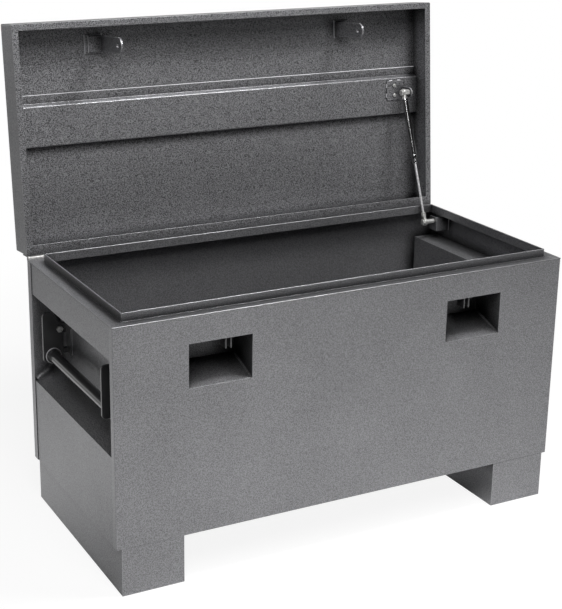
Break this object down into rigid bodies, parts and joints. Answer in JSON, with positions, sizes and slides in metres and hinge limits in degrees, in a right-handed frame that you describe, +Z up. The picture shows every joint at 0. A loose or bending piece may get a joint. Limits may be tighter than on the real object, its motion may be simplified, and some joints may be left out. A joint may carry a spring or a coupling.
{
  "type": "jobsite storage box",
  "caption": "Steel tool chest on skids with a hinged lid held open by a gas strut, two padlock hasps and recessed drop handles.",
  "frame": {"origin": "on the floor, at the bottom centre of the whole box with its lid open", "axes": "+X to the right along the front, +Y from the front to the rear, +Z up"},
  "size_m": [1.067, 0.6222, 1.0763],
  "materials": {
    "casing": "grey hammertone paint",
    "lid": "grey hammertone paint",
    "handles": "grey paint",
    "hinge": "painted over, worn at the knuckles",
    "fasteners": "zinc plated",
    "strut_body": "grey paint",
    "strut_bright": "hard chrome"
  },
  "bodies": {
    "box": {"front_panel": "casing", "rear_panel": "casing", "left_side_panel": "casing", "right_side_panel": "casing", "floor_panel": "casing", "front_rim": "casing", "rear_rim": "casing", "left_rim": "casing", "right_rim": "casing", "left_skid": "casing", "right_skid": "casing", "left_handle_pocket": "casing", "right_handle_pocket": "casing", "left_lock_recess": "casing", "right_lock_recess": "casing", "left_lock_staple": "casing", "right_lock_staple": "casing", "strut_wall_bracket": "casing", "left_handle_ears": "handles", "right_handle_ears": "handles", "left_handle_pivots": "fasteners", "right_handle_pivots": "fasteners", "strut_wall_stud": "fasteners", "wall_bracket_rivets": "fasteners", "hinge_box_leaf": "hinge", "hinge_pin": "hinge"},
    "lid": {"lid_shell": "lid", "lid_stiffener": "lid", "left_hasp": "lid", "right_hasp": "lid", "left_hasp_plate": "lid", "right_hasp_plate": "lid", "strut_lid_bracket": "lid", "strut_lid_stud": "fasteners", "lid_bracket_rivets": "fasteners", "hinge_lid_leaf": "hinge"},
    "strut_rod": {"strut_rod": "strut_bright", "strut_foot_eye": "fasteners", "strut_piston": "strut_body"},
    "strut_tube": {"strut_tube": "strut_body", "strut_head_eye": "fasteners", "strut_head_bolt": "fasteners"},
    "left_handle": {"left_handle_front_arm": "handles", "left_handle_rear_arm": "handles", "left_handle_grip": "handles"},
    "right_handle": {"right_handle_front_arm": "handles", "right_handle_rear_arm": "handles", "right_handle_grip": "handles"}
  },
  "joints": [
    {"name": "lid_hinge", "type": "hinge", "parent": "box", "child": "lid", "pos_m": [0, 0.18992, 0.574], "axis": [1, 0, 0], "range_deg": [0, 95.2]},
    {"name": "strut_pivot", "type": "hinge", "parent": "box", "child": "strut_rod", "pos_m": [0.4695, 0.12592, 0.556], "axis": [1, 0, 0], "range_deg": [0, 99.73]},
    {"name": "strut_slide", "type": "slide", "parent": "strut_rod", "child": "strut_tube", "axis": [0, 0.3636, 0.9316], "range_m": [-0.09582, 0]},
    {"name": "left_handle_swing", "type": "hinge", "parent": "box", "child": "left_handle", "pos_m": [-0.4915, -0.06308, 0.432], "axis": [0, 1, 0], "range_deg": [0, 50]},
    {"name": "right_handle_swing", "type": "hinge", "parent": "box", "child": "right_handle", "pos_m": [0.4915, -0.06308, 0.432], "axis": [0, -1, 0], "range_deg": [0, 50]}
  ],
  "couplings": [
    {"joint": "strut_pivot", "follows": "lid_hinge", "ratio": 1.0475},
    {"joint": "strut_slide", "follows": "lid_hinge", "m_per_rad": -0.057665}
  ]
}
